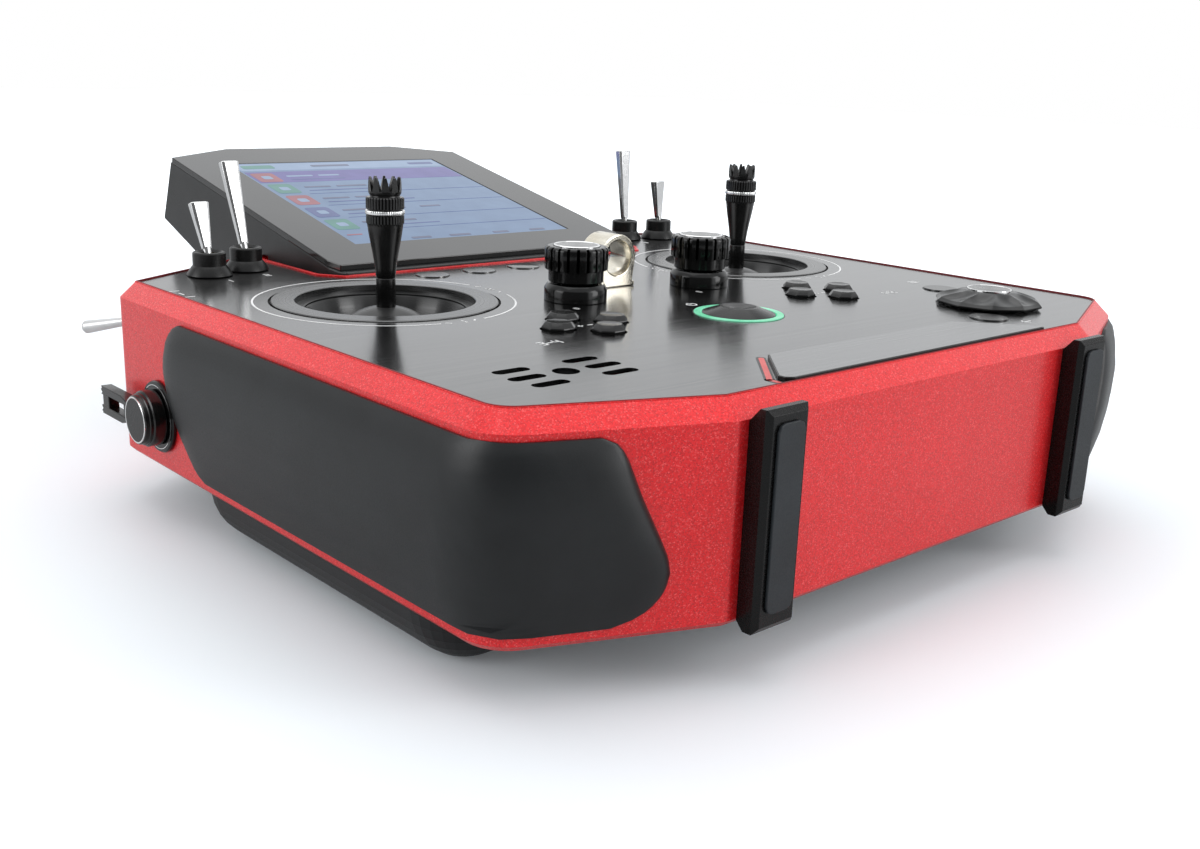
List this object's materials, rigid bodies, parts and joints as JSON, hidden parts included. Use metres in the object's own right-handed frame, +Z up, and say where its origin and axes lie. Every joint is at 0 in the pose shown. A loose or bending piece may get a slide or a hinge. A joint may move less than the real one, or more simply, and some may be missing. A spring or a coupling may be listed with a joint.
{
  "type": "radio control transmitter",
  "caption": "Hand-held radio-control transmitter: a flat case with two tilting sticks, switches, knobs, buttons, side levers and a raised display.",
  "frame": {"origin": "centre of the overall length and width, on the table plane that the palm grips rest on", "axes": "+X to the user's right, +Y away from the user towards the display, +Z up out of the face plate"},
  "size_m": [0.266, 0.3228, 0.101],
  "materials": {
    "red_paint": "fine metallic sparkle, satin clear coat",
    "brushed_plate": "dark brushed, reflective",
    "black_shell": "fine matte",
    "soft_rubber": "soft-touch matte",
    "black_plastic": "satin",
    "display_gloss": "glossy panel",
    "display_lit": "lit screen behind gloss",
    "polished_steel": "polished",
    "plain_steel": "turned",
    "warm_metal": "polished, warm tint",
    "black_anodised": "black anodised, satin",
    "dome_grey": "smooth satin",
    "button_black": "polished facets",
    "lit_ring": "translucent, lit green",
    "circuit_board": "solder mask",
    "battery_wrap": "shrink wrap"
  },
  "bodies": {
    "case": {"case_frame": "red_paint", "face_plate": "brushed_plate", "front_plaque": "brushed_plate", "left_gimbal_frame": "brushed_plate", "right_gimbal_frame": "brushed_plate", "back_cover": "black_shell", "battery_cover": "black_shell", "display_housing": "black_shell", "speaker": "black_shell", "left_side_grip": "soft_rubber", "right_side_grip": "soft_rubber", "left_palm_grip": "soft_rubber", "right_palm_grip": "soft_rubber", "foot_pads": "soft_rubber", "stand_feet": "black_plastic", "toggle_bodies": "black_plastic", "display_bezel": "display_gloss", "lcd_panel": "display_lit", "case_screws": "plain_steel", "strap_eyelet": "warm_metal", "control_collars": "black_anodised", "power_ring": "lit_ring", "control_board": "circuit_board", "main_board": "circuit_board", "battery_pack": "battery_wrap"},
    "left_yoke": {"left_yoke": "plain_steel"},
    "left_stick": {"left_stick": "dome_grey", "left_stick_grip": "black_anodised", "left_lock_ring": "polished_steel"},
    "right_yoke": {"right_yoke": "plain_steel"},
    "right_stick": {"right_stick": "dome_grey", "right_stick_grip": "black_anodised", "right_lock_ring": "polished_steel"},
    "left_short_toggle": {"left_short_toggle": "polished_steel"},
    "left_long_toggle": {"left_long_toggle": "polished_steel"},
    "right_short_toggle": {"right_short_toggle": "polished_steel"},
    "right_long_toggle": {"right_long_toggle": "polished_steel"},
    "left_rear_toggle": {"left_rear_toggle": "polished_steel"},
    "right_rear_toggle": {"right_rear_toggle": "polished_steel"},
    "left_knob": {"left_knob": "black_anodised"},
    "right_knob": {"right_knob": "black_anodised"},
    "left_side_lever": {"left_side_lever": "black_anodised"},
    "right_side_lever": {"right_side_lever": "black_anodised"},
    "dial": {"dial": "black_anodised"},
    "left_trim_up": {"left_trim_up": "button_black"},
    "left_trim_down": {"left_trim_down": "button_black"},
    "left_trim_out": {"left_trim_out": "button_black"},
    "left_trim_in": {"left_trim_in": "button_black"},
    "right_trim_up": {"right_trim_up": "button_black"},
    "right_trim_down": {"right_trim_down": "button_black"},
    "right_trim_in": {"right_trim_in": "button_black"},
    "right_trim_out": {"right_trim_out": "button_black"},
    "function_button_1": {"function_button_1": "button_black"},
    "function_button_2": {"function_button_2": "button_black"},
    "function_button_3": {"function_button_3": "button_black"},
    "function_button_4": {"function_button_4": "button_black"},
    "function_button_5": {"function_button_5": "button_black"},
    "menu_button": {"menu_button": "button_black"},
    "escape_button": {"escape_button": "button_black"},
    "power_button": {"power_button": "button_black"}
  },
  "joints": [
    {"name": "left_yoke_turn", "type": "hinge", "parent": "case", "child": "left_yoke", "pos_m": [-0.0737, -0.01834, 0.0453], "axis": [1, 0, 0], "range_deg": [-20, 20]},
    {"name": "left_stick_turn", "type": "hinge", "parent": "left_yoke", "child": "left_stick", "pos_m": [-0.0737, -0.01834, 0.0453], "axis": [0, 1, 0], "range_deg": [-20, 20], "stiffness_Nm_per_rad": 0.06},
    {"name": "right_yoke_turn", "type": "hinge", "parent": "case", "child": "right_yoke", "pos_m": [0.0737, -0.01834, 0.0453], "axis": [1, 0, 0], "range_deg": [-20, 20], "stiffness_Nm_per_rad": 0.06},
    {"name": "right_stick_turn", "type": "hinge", "parent": "right_yoke", "child": "right_stick", "pos_m": [0.0737, -0.01834, 0.0453], "axis": [0, 1, 0], "range_deg": [-20, 20], "stiffness_Nm_per_rad": 0.06},
    {"name": "left_short_toggle_turn", "type": "hinge", "parent": "case", "child": "left_short_toggle", "pos_m": [-0.0965, 0.04546, 0.0696], "axis": [1, 0, 0], "range_deg": [0, 36]},
    {"name": "left_long_toggle_turn", "type": "hinge", "parent": "case", "child": "left_long_toggle", "pos_m": [-0.082, 0.04996, 0.0696], "axis": [1, 0, 0], "range_deg": [0, 36]},
    {"name": "right_short_toggle_turn", "type": "hinge", "parent": "case", "child": "right_short_toggle", "pos_m": [0.0965, 0.04546, 0.0696], "axis": [1, 0, 0], "range_deg": [-13, 23]},
    {"name": "right_long_toggle_turn", "type": "hinge", "parent": "case", "child": "right_long_toggle", "pos_m": [0.082, 0.04996, 0.0696], "axis": [1, 0, 0], "range_deg": [-13, 23]},
    {"name": "left_rear_toggle_turn", "type": "hinge", "parent": "case", "child": "left_rear_toggle", "pos_m": [-0.11309, 0.05874, 0.051], "axis": [-0.8595, -0.5112, 0], "range_deg": [-24, 0]},
    {"name": "right_rear_toggle_turn", "type": "hinge", "parent": "case", "child": "right_rear_toggle", "pos_m": [0.11309, 0.05874, 0.051], "axis": [-0.8595, 0.5112, 0], "range_deg": [-24, 0]},
    {"name": "left_knob_turn", "type": "hinge", "parent": "case", "child": "left_knob", "pos_m": [-0.026, -0.04554, 0.066], "axis": [0, 0, 1], "range_deg": [-150, 150]},
    {"name": "right_knob_turn", "type": "hinge", "parent": "case", "child": "right_knob", "pos_m": [0.026, -0.04554, 0.066], "axis": [0, 0, 1], "range_deg": [-150, 150]},
    {"name": "left_side_lever_turn", "type": "hinge", "parent": "case", "child": "left_side_lever", "pos_m": [-0.125, 0.02046, 0.031], "axis": [1, 0, 0], "range_deg": [-35, 35]},
    {"name": "right_side_lever_turn", "type": "hinge", "parent": "case", "child": "right_side_lever", "pos_m": [0.125, 0.02046, 0.031], "axis": [1, 0, 0], "range_deg": [-35, 35]},
    {"name": "dial_turn", "type": "hinge", "parent": "case", "child": "dial", "pos_m": [0.079, -0.11754, 0.066], "axis": [0, 0, 1], "continuous": true},
    {"name": "left_trim_up_press", "type": "slide", "parent": "case", "child": "left_trim_up", "axis": [0, 0, -1], "range_m": [0, 0.0008], "stiffness_N_per_m": 250},
    {"name": "left_trim_down_press", "type": "slide", "parent": "case", "child": "left_trim_down", "axis": [0, 0, -1], "range_m": [0, 0.0008], "stiffness_N_per_m": 250},
    {"name": "left_trim_out_press", "type": "slide", "parent": "case", "child": "left_trim_out", "axis": [0, 0, -1], "range_m": [0, 0.0008], "stiffness_N_per_m": 250},
    {"name": "left_trim_in_press", "type": "slide", "parent": "case", "child": "left_trim_in", "axis": [0, 0, -1], "range_m": [0, 0.0008], "stiffness_N_per_m": 250},
    {"name": "right_trim_up_press", "type": "slide", "parent": "case", "child": "right_trim_up", "axis": [0, 0, -1], "range_m": [0, 0.0008], "stiffness_N_per_m": 250},
    {"name": "right_trim_down_press", "type": "slide", "parent": "case", "child": "right_trim_down", "axis": [0, 0, -1], "range_m": [0, 0.0008], "stiffness_N_per_m": 250},
    {"name": "right_trim_in_press", "type": "slide", "parent": "case", "child": "right_trim_in", "axis": [0, 0, -1], "range_m": [0, 0.0008], "stiffness_N_per_m": 250},
    {"name": "right_trim_out_press", "type": "slide", "parent": "case", "child": "right_trim_out", "axis": [0, 0, -1], "range_m": [0, 0.0008], "stiffness_N_per_m": 250},
    {"name": "function_button_1_press", "type": "slide", "parent": "case", "child": "function_button_1", "axis": [0, 0, -1], "range_m": [0, 0.0008], "stiffness_N_per_m": 250},
    {"name": "function_button_2_press", "type": "slide", "parent": "case", "child": "function_button_2", "axis": [0, 0, -1], "range_m": [0, 0.0008], "stiffness_N_per_m": 250},
    {"name": "function_button_3_press", "type": "slide", "parent": "case", "child": "function_button_3", "axis": [0, 0, -1], "range_m": [0, 0.0008], "stiffness_N_per_m": 250},
    {"name": "function_button_4_press", "type": "slide", "parent": "case", "child": "function_button_4", "axis": [0, 0, -1], "range_m": [0, 0.0008], "stiffness_N_per_m": 250},
    {"name": "function_button_5_press", "type": "slide", "parent": "case", "child": "function_button_5", "axis": [0, 0, -1], "range_m": [0, 0.0008], "stiffness_N_per_m": 250},
    {"name": "menu_button_press", "type": "slide", "parent": "case", "child": "menu_button", "axis": [0, 0, -1], "range_m": [0, 0.0008], "stiffness_N_per_m": 250},
    {"name": "escape_button_press", "type": "slide", "parent": "case", "child": "escape_button", "axis": [0, 0, -1], "range_m": [0, 0.0008], "stiffness_N_per_m": 250},
    {"name": "power_button_press", "type": "slide", "parent": "case", "child": "power_button", "axis": [0, 0, -1], "range_m": [0, 0.0008], "stiffness_N_per_m": 250}
  ]
}
